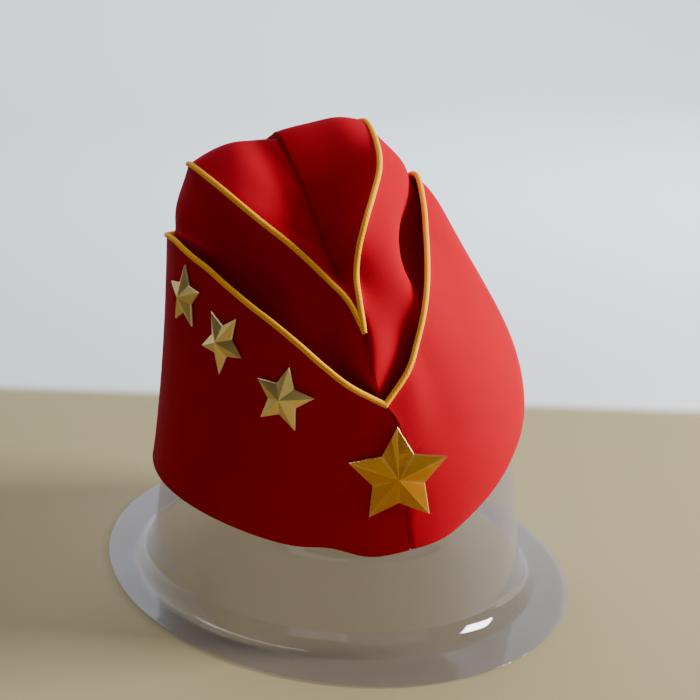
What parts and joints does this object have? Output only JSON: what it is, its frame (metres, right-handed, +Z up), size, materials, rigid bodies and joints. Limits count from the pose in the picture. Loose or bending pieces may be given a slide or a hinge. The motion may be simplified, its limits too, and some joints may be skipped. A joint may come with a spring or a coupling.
{
  "type": "side cap on a clear hat stand",
  "caption": "Boat-shaped red cloth side cap with a turned-up curtain, folded top, gold piped edges and star badges, resting on a clear oval hat stand with a flat foot.",
  "frame": {"origin": "on the table, at the middle of the stand's oval foot", "axes": "+Z up, +Y from the cap's front seam to its rear seam, the small stars are on the -X side"},
  "size_m": [0.206, 0.262, 0.2063],
  "materials": {
    "cloth": "fine red satin-matte wool cloth",
    "piping": "fuzzy twisted gold-yellow cord",
    "brass": "pale stamped brass",
    "gilt": "deep gold stamped brass",
    "clear_plastic": "clear thin formed plastic sheet"
  },
  "bodies": {
    "root": {"crown_left": "cloth", "curtain_left": "cloth", "crown_right": "cloth", "curtain_right": "cloth", "crown_top": "cloth", "crown_piping_left": "piping", "curtain_piping_left": "piping", "crown_piping_right": "piping", "curtain_piping_right": "piping", "star_front": "gilt", "star_side_front": "brass", "star_side_middle": "brass", "star_side_rear": "brass", "display_stand": "clear_plastic"}
  },
  "joints": []
}
